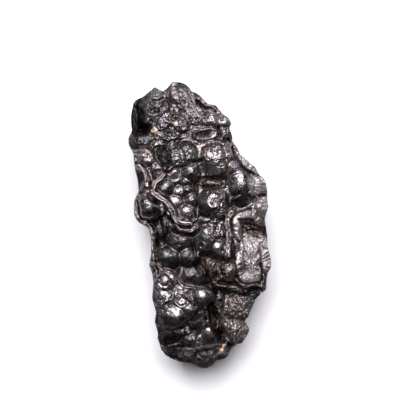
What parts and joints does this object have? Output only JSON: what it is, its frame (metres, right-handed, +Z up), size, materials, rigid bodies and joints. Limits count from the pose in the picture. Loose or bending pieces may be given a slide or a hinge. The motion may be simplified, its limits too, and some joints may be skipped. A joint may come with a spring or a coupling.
{
  "type": "hematite specimen",
  "caption": "Free-standing hand specimen of botryoidal hematite (kidney ore): a dark metallic slab of rounded kidneys, lying on its flat broken back",
  "frame": {"origin": "centre of the bounding box in plan, on the resting face at z = 0", "axes": "+Z is up, out of the botryoidal front; +Y runs along the specimen's length, towards its broad head; X runs across it. The specimen rests on its back."},
  "size_m": [0.0562, 0.1204, 0.0373],
  "materials": {
    "hematite": "metallic-grey botryoidal hematite, glossy on the rounded kidneys and dull brown-black in the broken hollows"
  },
  "bodies": {
    "root": {"hematite_specimen": "hematite"}
  },
  "joints": []
}
